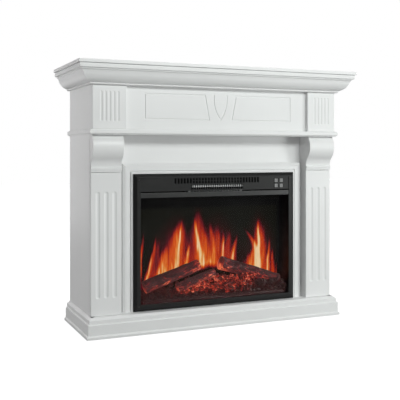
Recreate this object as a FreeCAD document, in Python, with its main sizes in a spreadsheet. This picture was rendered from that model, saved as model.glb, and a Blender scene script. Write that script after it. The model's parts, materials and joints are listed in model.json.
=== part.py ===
import FreeCAD, Part
import math
import os

import Sketcher
from FreeCAD import Placement, Rotation, Vector

# Electric fireplace: a white mantel with a black fire insert.
# Millimetres. X runs to the viewer's right, Y from the front to the back, +Z up.
# The origin is on the floor, at the middle of the width and of the depth.

SIZES = {
    # Mantel
    "total_high": 950, "back_y": 196, "body_half": 486, "crown_reach": 61, "board": 16,
    "shelf_low": 923, "shelf_step": 937, "crown_low": 871, "ledge_top": 719, "ledge_low": 700,
    "ledge_reach": 9, "side_half": 485, "column_half": 484, "column_in": 374, "column_back": -94,
    "column_front": -106, "block_in": 364, "block_front": -135, "frieze_front": -121,
    "corbel_low": 570, "header_front": -59, "header_low": 590, "plinth_top": 73, "plinth_wall": -120,
    "foot_high": 2, "rail_high": 70, "stile_in": 330,
    # Fire insert
    "bezel_half": 326, "window_half": 301, "bezel_top": 562, "bezel_low": 74, "bezel_front": -99,
    "bezel_thick": 12, "window_top": 476, "window_low": 97, "strip_top": 494, "fascia_low": 498,
    "fascia_top": 547, "case_half": 305, "case_top": 548, "case_low": 73, "case_back": 95, "sheet": 1.5,
    "trim_half": 362, "trim_front": -84, "screen_y": -20, "shaft": 3, "running_gap": 0.05,
    "rotor_y": 20, "rotor_z": 150, "blower_y": 15, "blower_z": 515,
    "button": 13, "button_gap": 0.4, "button_x": 256.5, "button_z": 521.5, "button_pitch": 22,
}


class Dim:
    """A length, kept together with the sheet expression that gives it."""

    def __init__(self, text, value):
        self.text = text
        self.value = value

    def joined(self, sign, other, value):
        return Dim(f"({self.text} {sign} {dim(other).text})", value)

    def __add__(self, other):
        return self.joined("+", other, self.value + dim(other).value)

    def __sub__(self, other):
        return self.joined("-", other, self.value - dim(other).value)

    def __mul__(self, other):
        return self.joined("*", other, self.value * dim(other).value)

    def __truediv__(self, other):
        return self.joined("/", other, self.value / dim(other).value)

    def __neg__(self):
        return self * -1

    def __radd__(self, other):
        return dim(other) + self

    def __rsub__(self, other):
        return dim(other) - self


def dim(number):
    """A plain number as a Dim, so that both mix freely."""
    if isinstance(number, Dim):
        return number
    return Dim(f"({number:.6g})", float(number))


doc = FreeCAD.newDocument("electric_fireplace")
sheet = doc.addObject("Spreadsheet::Sheet", "Sizes")


class Cells:
    """Every driving size by its alias."""


cells = Cells()
for row, (alias, number) in enumerate(SIZES.items(), start=1):
    sheet.set(f"A{row}", alias)
    sheet.set(f"B{row}", str(number))
    sheet.setAlias(f"B{row}", alias)
    setattr(cells, alias, Dim(f"Sizes.{alias}", float(number)))
doc.recompute()

NODES = {}


def node(piece, label):
    """Names a finished sub-part; the label is also its file name."""
    piece.Label = label
    NODES[label] = piece
    return piece


def bind(piece, prop, length):
    """Ties a property to the sheet."""
    piece.setExpression(prop, dim(length).text)


def place(piece, x, y, z, rotation=None):
    """Moves a piece, with each coordinate tied to the sheet."""
    if rotation is not None:
        piece.Placement = Placement(Vector(0, 0, 0), rotation)
    for axis, length in zip("xyz", (x, y, z)):
        bind(piece, f".Placement.Base.{axis}", length)
    return piece


# ---- Part primitives and booleans ------------------------------------------------


def board(x0, x1, y0, y1, z0, z1, name="board"):
    """A rectangular piece between two corners."""
    piece = doc.addObject("Part::Box", name)
    bind(piece, "Length", dim(x1) - x0)
    bind(piece, "Width", dim(y1) - y0)
    bind(piece, "Height", dim(z1) - z0)
    return place(piece, x0, y0, z0)


def rod(radius, length, x, y, z, axis=Vector(1, 0, 0), name="rod"):
    """A cylinder that starts at x, y, z and runs along an axis."""
    piece = doc.addObject("Part::Cylinder", name)
    bind(piece, "Radius", radius)
    bind(piece, "Height", length)
    return place(piece, x, y, z, Rotation(Vector(0, 0, 1), axis))


def taper(radius0, radius1, start, end, name="taper"):
    """A tapered round piece between two points, such as a log."""
    run = Vector(*end) - Vector(*start)
    piece = doc.addObject("Part::Cone", name)
    bind(piece, "Radius1", radius0)
    bind(piece, "Radius2", radius1)
    bind(piece, "Height", run.Length)
    return place(piece, *start, Rotation(Vector(0, 0, 1), run))


def fuse(pieces, name="fuse"):
    """Several shapes as one."""
    whole = doc.addObject("Part::MultiFuse", name)
    whole.Shapes = pieces
    return whole


def group(pieces, name="group"):
    """Identical separate solids kept as one object."""
    whole = doc.addObject("Part::Compound", name)
    whole.Links = pieces
    return whole


def cut(base, tools, name="cut"):
    """A shape with others taken away."""
    whole = doc.addObject("Part::Cut", name)
    whole.Base = base
    whole.Tool = tools[0] if len(tools) == 1 else fuse(tools, f"{name}_tools")
    return whole


def eased(base, radius, edges=range(1, 13), name="eased"):
    """A board with rounded edges."""
    whole = doc.addObject("Part::Fillet", name)
    whole.Base = base
    whole.Edges = [(edge, radius, radius) for edge in edges]
    return whole


# ---- Sketched bodies --------------------------------------------------------------


def body_named(label):
    """A body, and its three origin planes by role."""
    body = doc.addObject("PartDesign::Body", label)
    planes = {feature.Role: feature for feature in body.Origin.OriginFeatures}
    return node(body, label), planes


def sketch_on(body, plane, height=0):
    """An empty sketch on one of the body's own planes, raised along its normal."""
    sketch = body.newObject("Sketcher::SketchObject", "profile")
    sketch.AttachmentSupport = [(plane, "")]
    sketch.MapMode = "FlatFace"
    bind(sketch, ".AttachmentOffset.Base.z", height)
    return sketch


def outline(sketch, corners, bulges=None):
    """A closed outline through corners that the sheet drives.

    bulges gives the radius of each edge that is an arc, by the index of its first corner.
    A positive radius bulges to the right of the way along the edge.
    """
    bulges = bulges or {}
    corners = [(dim(u), dim(v)) for u, v in corners]
    points = [Vector(u.value, v.value, 0) for u, v in corners]
    first = sketch.GeometryCount
    for index, start in enumerate(points):
        end = points[(index + 1) % len(points)]
        radius = bulges.get(index, 0)
        if radius:
            half = (end - start) / 2
            side = Vector(half.y, -half.x, 0).normalize() * math.copysign(1, radius)
            sagitta = abs(radius) - math.sqrt(radius**2 - half.Length**2)
            sketch.addGeometry(Part.Arc(start, start + half + side * sagitta, end), False)
        else:
            sketch.addGeometry(Part.LineSegment(start, end), False)
    # An arc always runs counter-clockwise, so one that bulges to the left starts at its far corner.
    ends = [(2, 1) if bulges.get(index, 0) < 0 else (1, 2) for index in range(len(points))]
    for index in range(len(points)):
        after = (index + 1) % len(points)
        joint = (first + index, ends[index][1], first + after, ends[after][0])
        sketch.addConstraint(Sketcher.Constraint("Coincident", *joint))
    for index, (u, v) in enumerate(corners):
        for kind, length in (("DistanceX", u), ("DistanceY", v)):
            place_at = (-1, 1, first + index, ends[index][0], length.value)
            number = sketch.addConstraint(Sketcher.Constraint(kind, *place_at))
            sketch.setExpression(f"Constraints[{number}]", length.text)
    for index, radius in bulges.items():
        sketch.addConstraint(Sketcher.Constraint("Radius", first + index, abs(radius)))


def pad(body, sketch, length, both_ways=False):
    """Adds material along the sketch's normal."""
    feature = body.newObject("PartDesign::Pad", "pad")
    feature.Profile = sketch
    bind(feature, "Length", length)
    if both_ways:
        feature.SideType = "Symmetric"
    return feature


def pocket(body, sketch, depth=None):
    """Takes material away against the sketch's normal; with no depth, right through both ways."""
    doc.recompute()
    before = body.Shape.Volume
    feature = body.newObject("PartDesign::Pocket", "pocket")
    feature.Profile = sketch
    if depth is None:
        feature.Type = "ThroughAll"
        feature.SideType = "Symmetric"
    else:
        bind(feature, "Length", depth)
    doc.recompute()
    if body.Shape.Volume > before - 1:
        raise RuntimeError(f"a pocket in {body.Label} cuts nothing")
    return feature


def moulding(label, profile, left, right, bulges=None, reach=80, inner=40):
    """A moulding along X with its profile in Y and Z, where -Y is outwards.

    left and right are (x, mitred): where each end meets the wall's plane, and whether it is
    cut at 45 degrees, away from that end as the profile comes outwards.
    """
    body, planes = body_named(label)
    (x0, mitre0), (x1, mitre1) = left, right
    low = dim(x0) - (reach if mitre0 else 0)
    high = dim(x1) + (reach if mitre1 else 0)
    sketch = sketch_on(body, planes["YZ_Plane"], low)
    outline(sketch, profile, bulges)
    pad(body, sketch, high - low)
    for corner, side, mitred in ((x0, -1, mitre0), (x1, 1, mitre1)):
        if not mitred:
            continue
        tip = dim(corner) + side * (reach + 1)
        root = dim(corner) - side * inner
        mitre = sketch_on(body, planes["XY_Plane"])
        outline(mitre, [(tip, -(reach + 1)), (root, inner), (tip, inner)])
        pocket(body, mitre)
    return body


# ---- Mantel: top, crown and ledge -------------------------------------------------

LEFT_RIGHT = (("left", -1), ("right", 1))
crown_half = cells.body_half + cells.crown_reach
crown_front_y = cells.block_front - cells.crown_reach


def top_shelf():
    """Top board with two stepped edges and a fine groove between them."""
    body, planes = body_named("mantel_top_shelf")
    steps = (
        (cells.shelf_low, cells.shelf_step, 4.5),
        (cells.shelf_step, cells.shelf_step + 1.5, 8),
        (cells.shelf_step + 1.5, cells.total_high, 0),
    )
    for low, high, inset in steps:
        sketch = sketch_on(body, planes["XY_Plane"], low)
        half = crown_half - inset
        front = crown_front_y + inset
        outline(sketch, [(-half, front), (half, front), (half, cells.back_y), (-half, cells.back_y)])
        pad(body, sketch, high - low)


def crown_profile(back):
    """Bead, rounded belly, small cove and lip, from the bottom up; back is how far in it reaches."""
    low = cells.crown_low
    return [
        (back, low), (-8, low), (-11, low + 2), (-11, low + 4.5), (-9, low + 6), (-13, low + 7),
        (-42, low + 38), (-43, low + 40), (-50, low + 48), (-50, low + 52), (back, low + 52),
    ]


def ledge_profile(back):
    """A rounded nose over a small step back."""
    low = cells.ledge_low
    high = cells.ledge_top
    nose = -cells.ledge_reach
    return [
        (back, low), (nose + 5, low), (nose + 5, low + 3), (nose + 3.5, low + 3), (nose, low + 6.5),
        (nose, high - 4), (nose + 4, high), (back, high),
    ]


def wrap_round(name, profile, bulges, front_back, side_back, corner, wall_y):
    """Three mouldings round the front and both sides, mitred at the front corners."""
    front = moulding(
        f"{name}_front", profile(front_back), (-corner, True), (corner, True), bulges, inner=90
    )
    place(front, 0, wall_y, 0)
    depth = cells.back_y - wall_y
    left = moulding(f"{name}_left", profile(side_back), (-depth, False), (0, True), bulges)
    place(left, -corner, wall_y, 0, Rotation(Vector(0, 0, 1), -90))
    right = moulding(f"{name}_right", profile(side_back), (0, True), (depth, False), bulges)
    place(right, corner, wall_y, 0, Rotation(Vector(0, 0, 1), 90))


def crown_and_ledge():
    """The crown under the shelf and the ledge under the frieze."""
    wall = cells.block_front
    side_back = cells.body_half - cells.side_half
    corner = cells.body_half
    wrap_round("crown", crown_profile, {5: -44, 7: 12}, cells.frieze_front - wall, side_back, corner, wall)
    wrap_round("ledge", ledge_profile, {3: -3.5, 5: -4}, cells.header_front - wall, side_back, corner, wall)


# ---- Mantel: frieze ---------------------------------------------------------------


def groove_ring(body, planes, thick, corners, inner_corners, depth=2):
    """A routed line between two outlines on a board's front face."""
    sketch = sketch_on(body, planes["XZ_Plane"], thick)
    outline(sketch, corners)
    outline(sketch, inner_corners)
    pocket(body, sketch, depth)


def frieze_panel():
    """Centre board with two routed frames and a pointed tulip between them."""
    body, planes = body_named("frieze_panel")
    thick = cells.board
    half = cells.block_in
    low = cells.ledge_top
    high = cells.shelf_low
    face = sketch_on(body, planes["XZ_Plane"])
    outline(face, [(-half, low), (half, low), (half, high), (-half, high)])
    pad(body, face, thick)
    line = 4
    top = low + 129
    base = low + 36
    for side in (-1, 1):
        far = 295 * side
        near_top = 60 * side
        near_base = 43 * side
        outer = [(far, base), (far, top), (near_top, top), (near_base, base)]
        shift = line * side
        inner = [
            (far - shift, base + line), (far - shift, top - line),
            (near_top + shift * 1.3, top - line), (near_base + shift * 1.3, base + line),
        ]
        groove_ring(body, planes, thick, outer, inner)
    tulip = sketch_on(body, planes["XZ_Plane"], thick)
    band = [
        (-28, top), (0, base), (28, top), (28 - line, top), (0, base + 2 * line), (line - 28, top),
    ]
    outline(tulip, band, {0: 130, 1: 130, 3: -110, 4: -110})
    pocket(body, tulip, 2)
    place(body, 0, cells.frieze_front + thick, 0)


def flute(x, front, low, high, radius, depth):
    """Cutter for one round-bottomed flute with rounded ends."""
    centre_y = dim(front) - radius + depth
    shaft = rod(radius, dim(high) - low, x, centre_y, low, Vector(0, 0, 1), "flute")
    ends = []
    for z in (low, high):
        ball = doc.addObject("Part::Sphere", "flute_end")
        bind(ball, "Radius", radius)
        ends.append(place(ball, x, centre_y, z))
    return [shaft, *ends]


def fluted_board(label, middle, x0, x1, y0, y1, z0, z1, low, high, count, pitch, radius, depth, ease):
    """A board with an eased edge and a row of vertical flutes."""
    blank = eased(board(x0, x1, y0, y1, z0, z1), ease)
    cutters = []
    for number in range(count):
        x = dim(middle) + (number - (count - 1) / 2) * pitch
        cutters += flute(x, y0, low, high, radius, depth)
    return node(cut(blank, cutters, label), label)


def frieze_blocks():
    """Thick fluted blocks at both ends of the frieze."""
    for name, side in LEFT_RIGHT:
        edges = sorted((cells.block_in * side, cells.body_half * side), key=lambda d: d.value)
        middle = (cells.block_in + cells.body_half) / 2 * side
        fluted_board(
            f"frieze_block_{name}", middle, edges[0], edges[1], cells.block_front, cells.column_back,
            cells.ledge_top, cells.crown_low, cells.ledge_top + 31, cells.crown_low - 25,
            count=5, pitch=15, radius=7.8, depth=1.5, ease=2,
        )


# ---- Mantel: columns --------------------------------------------------------------


def pilasters():
    """Flat columns with three long flutes."""
    for name, side in LEFT_RIGHT:
        edges = sorted((cells.column_in * side, cells.column_half * side), key=lambda d: d.value)
        middle = (cells.column_in + cells.column_half) / 2 * side
        fluted_board(
            f"pilaster_{name}", middle, edges[0], edges[1], cells.column_front, cells.column_back,
            cells.plinth_top, cells.corbel_low - 1, cells.plinth_top + 68, cells.corbel_low - 75,
            count=3, pitch=30, radius=15, depth=2.3, ease=2,
        )


def corbels():
    """Bellied brackets between the columns and the ledge."""
    low = cells.corbel_low
    high = cells.ledge_low
    back = cells.column_back
    face = cells.column_front
    profile = [
        (back, low), (face - 2, low), (face - 2, low + 7), (face - 5, low + 8), (face - 5, low + 15),
        (face, low + 17), (face - 14, low + 48), (face - 15, high), (back, high),
    ]
    for name, side in LEFT_RIGHT:
        body, planes = body_named(f"corbel_{name}")
        sketch = sketch_on(body, planes["YZ_Plane"])
        outline(sketch, profile, {5: 45, 6: -58})
        pad(body, sketch, cells.column_half - cells.column_in)
        start = cells.column_in if side > 0 else -cells.column_half
        place(body, start, 0, 0)


def front_frame():
    """Stiles behind the columns, each with a return, and the header board over the opening."""
    front = cells.header_front
    back = front + cells.board
    inner_half = cells.side_half - cells.board
    low = cells.plinth_top
    turn = cells.column_in + cells.board
    upper = [
        (cells.column_in, back), (inner_half, back), (inner_half, front), (turn, front),
        (turn, cells.column_back), (cells.column_in, cells.column_back),
    ]
    lower = [
        (cells.stile_in, back), (cells.column_in, back), (cells.column_in, front), (cells.stile_in, front),
    ]
    for name, side in LEFT_RIGHT:
        body, planes = body_named(f"front_stile_{name}")
        for corners, top in ((upper, cells.ledge_low), (lower, cells.header_low)):
            sketch = sketch_on(body, planes["XY_Plane"], low)
            outline(sketch, [(x * side, y) for x, y in corners])
            pad(body, sketch, top - low)
    half = cells.column_in
    header = board(-half, half, front, back, cells.header_low, cells.ledge_low, "header_panel")
    node(header, "header_panel")


def side_panels():
    """Plain sides, from the feet to the shelf."""
    for name, side in LEFT_RIGHT:
        outer = cells.side_half * side
        inner = (cells.side_half - cells.board) * side
        edges = sorted((outer, inner), key=lambda d: d.value)
        piece = board(
            edges[0], edges[1], cells.column_back, cells.back_y, cells.foot_high, cells.shelf_low,
            f"side_panel_{name}",
        )
        node(piece, f"side_panel_{name}")


# ---- Mantel: plinth, hearth, rails and feet ---------------------------------------


def plinth_profile(back):
    """Base lip, fascia, step and sloped top, where -Y is outwards."""
    low = cells.foot_high
    top = cells.plinth_top
    return [
        (back, low), (-22, low), (-22, low + 7), (-19, low + 11), (-17, low + 13), (-17, top - 24),
        (-14, top - 21), (-12, top - 20), (-12, top - 8), (-10, top - 6), (-3, top), (back, top),
    ]


def plinth():
    """Three mitred base mouldings round the front and both sides."""
    front_back = cells.column_front - cells.plinth_wall
    side_back = cells.column_half - cells.side_half
    corner = cells.column_half
    wall = cells.plinth_wall
    front = moulding(
        "plinth_front", plinth_profile(front_back), (-corner, True), (corner, True), {2: -4, 5: -4}
    )
    place(front, 0, wall, 0)
    depth = cells.back_y - wall
    left = moulding("plinth_left", plinth_profile(side_back), (-depth, False), (0, True), {2: -4, 5: -4})
    place(left, -corner, wall, 0, Rotation(Vector(0, 0, 1), -90))
    right = moulding("plinth_right", plinth_profile(side_back), (0, True), (depth, False), {2: -4, 5: -4})
    place(right, corner, wall, 0, Rotation(Vector(0, 0, 1), 90))


def hearth_and_rails():
    """The board that carries the fire insert, and the rail that ties the back."""
    inner = cells.side_half - cells.board
    hearth = board(
        -inner, inner, cells.column_front, cells.back_y - 40, cells.plinth_top - cells.board,
        cells.plinth_top, "hearth_board",
    )
    node(hearth, "hearth_board")
    rail_back = cells.back_y
    rail_low = cells.shelf_low - cells.rail_high
    rail = board(-inner, inner, rail_back - cells.board, rail_back, rail_low, cells.shelf_low, "rail_blank")
    holes = []
    for side in (-1, 1):
        start = rail_back - cells.board - 1
        holes.append(rod(3, cells.board + 2, 350 * side, start, rail_low + 35, Vector(0, 1, 0), "wall_hole"))
    node(cut(rail, holes, "back_rail_top"), "back_rail_top")


def bracket(side, y, top):
    """One angle bracket in the corner under a board and against a side panel."""
    inner = cells.side_half - cells.board
    leg = 28
    thick = 2
    wide = 18
    if side < 0:
        flat = board(-inner, -inner + leg, y, y + wide, top - thick, top)
        upright = board(-inner, -inner + thick, y, y + wide, top - leg, top)
    else:
        flat = board(inner - leg, inner, y, y + wide, top - thick, top)
        upright = board(inner - thick, inner, y, y + wide, top - leg, top)
    return fuse([flat, upright], "bracket")


def brackets_and_feet():
    """Steel corner brackets inside the carcass, and the plastic glides under it."""
    brackets = []
    for side in (-1, 1):
        for y in (-80, 40, 120):
            brackets.append(bracket(side, y, cells.shelf_low))
            brackets.append(bracket(side, y, cells.plinth_top - cells.board))
    node(group(brackets, "corner_brackets"), "corner_brackets")
    feet = []
    foot_r = 6.5
    for x, y in ((0, -128), (470, -128), (-470, -128), (477, 60), (-477, 60), (477, 180), (-477, 180)):
        feet.append(rod(foot_r, cells.foot_high, x, y, 0, Vector(0, 0, 1), "glide"))
    node(group(feet, "glide_feet"), "glide_feet")


# ---- Opening trim -----------------------------------------------------------------


def frame_turn(x_way, y_way):
    """The turn that lays a moulding in the front plane, its local Z towards the viewer."""
    return Rotation(x_way, y_way, Vector(0, -1, 0), "XYZ")


def opening_trim():
    """White picture-frame moulding round three sides of the insert.

    Local -Y is away from the opening; 12 mm of it reaches behind the insert's bezel.
    """
    reach = cells.trim_half - cells.bezel_half
    flat = cells.header_front - cells.trim_front
    behind = 12
    profile = [
        (behind, 0), (-reach, 0), (-reach, flat - 4), (9 - reach, flat + 1), (10 - reach, flat - 1),
        (11 - reach, flat), (-11, flat), (-10, flat - 4), (-7, flat - 4), (-6, flat + 3), (behind, flat + 3),
    ]
    half = cells.bezel_half
    rise = cells.bezel_top - cells.plinth_top
    wall = cells.header_front
    high = cells.bezel_top
    top = moulding("opening_trim_top", profile, (-half, True), (half, True), reach=60)
    place(top, 0, wall, high, frame_turn(Vector(-1, 0, 0), Vector(0, 0, -1)))
    left = moulding("opening_trim_left", profile, (0, True), (rise, False), reach=60)
    place(left, -half, wall, high, frame_turn(Vector(0, 0, -1), Vector(1, 0, 0)))
    right = moulding("opening_trim_right", profile, (-rise, False), (0, True), reach=60)
    place(right, half, wall, high, frame_turn(Vector(0, 0, 1), Vector(-1, 0, 0)))


# ---- Insert: bezel, controls and window -------------------------------------------


def common(base, tool, label):
    """What two shapes share."""
    piece = doc.addObject("Part::Common", label)
    piece.Base = base
    piece.Tool = tool
    return node(piece, label)


def bezel():
    """Four black rails cut from one plate whose outer edge slopes back."""
    half = cells.bezel_half
    inner = cells.window_half
    low = cells.bezel_low
    top = cells.bezel_top
    front = cells.bezel_front
    back = front + cells.bezel_thick
    slope = 12
    fall = 8
    plate = board(-half, half, front + fall, back, low, top, "bezel_plate")
    rise = doc.addObject("Part::Wedge", "bezel_slope")
    for prop, length in (
        ("Xmin", -half), ("Xmax", half), ("Ymin", 0), ("Ymax", fall), ("Zmin", low), ("Zmax", top),
        ("X2min", slope - half), ("X2max", half - slope), ("Z2min", low + slope), ("Z2max", top - slope),
    ):
        bind(rise, prop, length)
    forwards = Rotation(Vector(1, 0, 0), Vector(0, -1, 0), Vector(0, 0, -1), "XYZ")
    place(rise, 0, front + fall, low + top, forwards)
    whole = fuse([plate, rise], "bezel_whole")
    rails = {
        "bezel_top": (-half, half, cells.fascia_top, top),
        "bezel_bottom": (-half, half, low, cells.window_low),
        "bezel_left": (-half, -inner, cells.window_low, cells.fascia_top),
        "bezel_right": (inner, half, cells.window_low, cells.fascia_top),
    }
    for label, (x0, x1, z0, z1) in rails.items():
        common(whole, board(x0, x1, front - 1, back + 1, z0, z1), label)


def button_spots():
    """The four buttons' centres, by name."""
    step = cells.button_pitch / 2
    x = cells.button_x
    z = cells.button_z
    return {
        "button_power": (x - step, z + step - 1), "button_flame": (x + step, z + step - 1),
        "button_heat_low": (x - step, z - step + 1), "button_heat_high": (x + step, z - step + 1),
    }


def controls():
    """Slotted control fascia, its outlet grille, the strip under it and the four buttons."""
    inner = cells.window_half
    front = cells.bezel_front + 2
    thick = 2
    blank = board(-inner, inner, front, front + thick, cells.fascia_low, cells.fascia_top, "fascia_blank")
    cutters = []
    slot = 8
    pitch = 12
    for number in range(-14, 15):
        x = number * pitch
        rows = [(525.5, 534), (536, 544.5)] if abs(number) < 9 else [(525.5, 544.5)]
        for low, high in rows:
            cutters.append(board(x - slot / 2, x + slot / 2, front - 1, front + thick + 1, low, high, "slot"))
    outlet_half = 106
    outlet_low = 501
    outlet_high = 523
    cutters.append(
        board(-outlet_half, outlet_half, front - 1, front + thick + 1, outlet_low, outlet_high, "outlet")
    )
    hole = cells.button / 2 + cells.button_gap
    for x, z in button_spots().values():
        cutters.append(board(x - hole, x + hole, front - 1, front + thick + 1, z - hole, z + hole, "hole"))
    node(cut(blank, cutters, "control_fascia"), "control_fascia")

    gap = 0.5
    frame_x = outlet_half - gap
    outer = board(
        -frame_x, frame_x, front - 3, front + 8, outlet_low + gap, outlet_high - gap, "grille_blank"
    )
    mouths = []
    fin_pitch = 9
    for number in range(-11, 12):
        x = number * fin_pitch
        mouths.append(board(x - 3.5, x + 3.5, front - 4, front + 9, outlet_low + 3, outlet_high - 8, "mouth"))
    node(cut(outer, mouths, "outlet_grille"), "outlet_grille")

    strip = board(
        -inner, inner, cells.bezel_front + 1, cells.bezel_front + 5, cells.window_top, cells.strip_top,
        "strip_blank",
    )
    node(eased(strip, 1, name="window_strip"), "window_strip")

    half = cells.button / 2
    for label, (x, z) in button_spots().items():
        cap = board(x - half, x + half, front - 3.5, front + 14, z - half, z + half, "button_blank")
        node(eased(cap, 1, name=label), label)


def window():
    """Clear front glass and the flame screen behind it."""
    inner = cells.window_half
    glass = board(
        -inner, inner, cells.bezel_front + 6, cells.bezel_front + 10, cells.window_low, cells.window_top,
        "front_glass",
    )
    node(glass, "front_glass")
    half = cells.case_half - 1
    screen_low = cells.case_low + cells.sheet
    screen = board(
        -half, half, cells.screen_y, cells.screen_y + 3, screen_low, cells.window_top + 3, "flame_screen"
    )
    node(screen, "flame_screen")


# ---- Insert: fuel bed --------------------------------------------------------------


def fuel_bed():
    """Ember bed with a sloped front, and the logs on it; the finished bark goes over these."""
    body, planes = body_named("ember_bed")
    sketch = sketch_on(body, planes["YZ_Plane"])
    front = cells.bezel_front + 33
    back = cells.screen_y - 1
    low = cells.case_low + cells.sheet
    outline(sketch, [(front, low), (front, low + 26), (front + 16, low + 44), (back, low + 58), (back, low)])
    pad(body, sketch, cells.case_half * 2 - 4)
    place(body, 2 - cells.case_half, 0, 0)
    logs = {
        "log_left": (24, 22, (-262, -52, 149), (-66, -48, 221)),
        "log_right": (28, 18, (34, -50, 220), (284, -50, 148)),
        "log_middle": (18, 16, (-150, -68, 143), (0, -66, 190)),
        "log_front": (9, 9, (-284, -76, 100), (284, -76, 100)),
    }
    for label, (radius0, radius1, start, end) in logs.items():
        node(taper(radius0, radius1, start, end, label), label)


# ---- Insert: casing ----------------------------------------------------------------


def casing():
    """Five sheet-metal panels that close the insert behind the bezel."""
    half = cells.case_half
    sheet_thick = cells.sheet
    front = cells.bezel_front + cells.bezel_thick
    back = cells.case_back
    low = cells.case_low
    top = cells.case_top
    left = board(-half - sheet_thick, -half, front, back, low, top, "side_blank")
    bearing = rod(
        cells.shaft + cells.running_gap, sheet_thick * 2, -half - sheet_thick * 1.5, cells.rotor_y,
        cells.rotor_z, name="bearing_hole",
    )
    node(cut(left, [bearing], "firebox_side_left"), "firebox_side_left")
    node(board(half, half + sheet_thick, front, back, low, top), "firebox_side_right")
    node(board(-half, half, front, back, top - sheet_thick, top), "firebox_top")
    node(board(-half, half, front, back, low, low + sheet_thick), "firebox_floor")
    rear = board(
        -half, half, back - sheet_thick, back, low + sheet_thick, top - sheet_thick, "rear_blank"
    )
    y_way = Vector(0, 1, 0)
    openings = [rod(9.2, 4, 220, back - 3, 130, y_way, "gland_hole")]
    for number in range(-6, 7):
        x = number * 16
        openings.append(board(x - 4, x + 4, back - 3, back + 1, 496, 534, "intake"))
    node(cut(rear, openings, "firebox_back"), "firebox_back")
    flange = rod(14, 4, 220, back, 130, y_way, "gland_flange")
    stem = rod(9, 12, 220, back - 8, 130, y_way, "gland_stem")
    nose = rod(8, 8, 220, back + 4, 130, y_way, "gland_nose")
    bore = rod(3.5, 24, 220, back - 10, 130, y_way, "gland_bore")
    node(cut(fuse([flange, stem, nose], "gland_whole"), [bore], "cable_gland"), "cable_gland")


# ---- Insert: flame drive, heater and controls --------------------------------------


def motor(label, radius, length, x, y, z):
    """A round motor with a running fit for the shaft that enters its near end."""
    can = rod(radius, length, x, y, z, name="motor_can")
    boss = rod(radius * 0.4, 4, dim(x) - 4, y, z, name="motor_boss")
    bore = rod(cells.shaft + cells.running_gap, 18, dim(x) - 5, y, z, name="motor_bore")
    node(cut(fuse([can, boss], "motor_whole"), [bore], label), label)


def flame_drive():
    """Slow shaft of bright strips that throws moving light on the screen, with its motor."""
    half = cells.case_half
    y = cells.rotor_y
    z = cells.rotor_z
    shaft = rod(cells.shaft, half * 2 - 34 + cells.sheet, -half - cells.sheet, y, z, name="rotor_shaft")
    vanes = []
    count = 16
    span = 31
    for number in range(count):
        vane = doc.addObject("Part::Box", "vane")
        bind(vane, "Length", span - 4)
        bind(vane, "Width", 26)
        bind(vane, "Height", 1)
        turn = Rotation(Vector(1, 0, 0), 360 * number / count * 2)
        vane.Placement = Placement(Vector(-272 + span * number, 0, 0), turn)
        offset = turn.multVec(Vector(0, -13, -0.5))
        place(vane, -272 + span * number, y + offset.y, z + offset.z)
        vanes.append(vane)
    node(fuse([shaft, *vanes], "flame_rotor"), "flame_rotor")
    motor("rotor_motor", 24, 22, half - 40, y, z)


def blower():
    """Cross-flow fan wheel above the window, with its motor."""
    y = cells.blower_y
    z = cells.blower_z
    wheel = [rod(cells.shaft, 268, -112, y, z, name="blower_shaft")]
    for x in (-100, 0, 100):
        wheel.append(rod(21, 2, x, y, z, name="blower_disc"))
    count = 18
    for number in range(count):
        turn = Rotation(Vector(1, 0, 0), 360 * number / count)
        blade = doc.addObject("Part::Box", "blade")
        bind(blade, "Length", 202)
        bind(blade, "Width", 6)
        bind(blade, "Height", 1)
        tip = turn.multVec(Vector(0, 15, 0))
        blade.Placement = Placement(Vector(0, 0, 0), turn * Rotation(Vector(1, 0, 0), 25))
        place(blade, -100, y + tip.y, z + tip.z)
        wheel.append(blade)
    node(fuse(wheel, "blower_wheel"), "blower_wheel")
    motor("blower_motor", 22, 34, 146, y, z)


def heater():
    """Heater unit: a full-width tray over the flame space and the finned heating block on it."""
    half = cells.case_half - 1
    floor = cells.window_top + 4
    front = cells.bezel_front + cells.bezel_thick
    tray = board(-half, half, front, 60, floor, floor + 1.5, "heater_tray")
    block = board(-110, 110, -76, -44, floor + 1.5, floor + 44, "heater_block")
    gaps = []
    for number in range(-8, 9):
        x = number * 12
        gaps.append(board(x - 4, x + 4, -77, -43, floor + 8, floor + 38, "fin_gap"))
    node(cut(fuse([tray, block], "heater_whole"), gaps, "heater_unit"), "heater_unit")


def electronics():
    """Control board behind the buttons and the light boards under the fuel bed."""
    control = board(196, 298, -78, -76.4, 500, 544, "circuit")
    relay = board(206, 226, -76.4, -60, 506, 520, "relay")
    driver = board(234, 262, -76.4, -56, 524, 540, "driver")
    node(fuse([control, relay, driver], "control_board"), "control_board")
    low = cells.case_low + cells.sheet
    strip = board(-270, 250, -2, 10, low, low + 1.6, "led_strip")
    lamps = []
    for number in range(14):
        lamps.append(board(-264 + 38 * number, -258 + 38 * number, 1, 7, low + 1.6, low + 4, "led"))
    node(fuse([strip, *lamps], "led_board"), "led_board")


# ---- Build and write ----------------------------------------------------------------


def check_document():
    """Stops if anything failed to build."""
    for piece in doc.Objects:
        if any(state in ("Invalid", "Error") for state in piece.State):
            raise RuntimeError(f"{piece.Name} ({piece.Label}) is {piece.State}")
    for label, piece in NODES.items():
        shape = piece.Shape
        if shape.isNull() or not shape.isValid() or not shape.Solids:
            raise RuntimeError(f"{label} has no valid solid")


def write_steps():
    """One file for each sub-part."""
    os.makedirs("parts", exist_ok=True)
    for label, piece in NODES.items():
        piece.Shape.exportStep(os.path.join("parts", f"{label}.step"))


top_shelf()
crown_and_ledge()
frieze_panel()
frieze_blocks()
side_panels()
corbels()
pilasters()
front_frame()
plinth()
hearth_and_rails()
brackets_and_feet()
opening_trim()
bezel()
controls()
window()
fuel_bed()
casing()
flame_drive()
blower()
heater()
electronics()
doc.recompute()
check_document()
write_steps()
print(len(NODES), "nodes")
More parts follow.
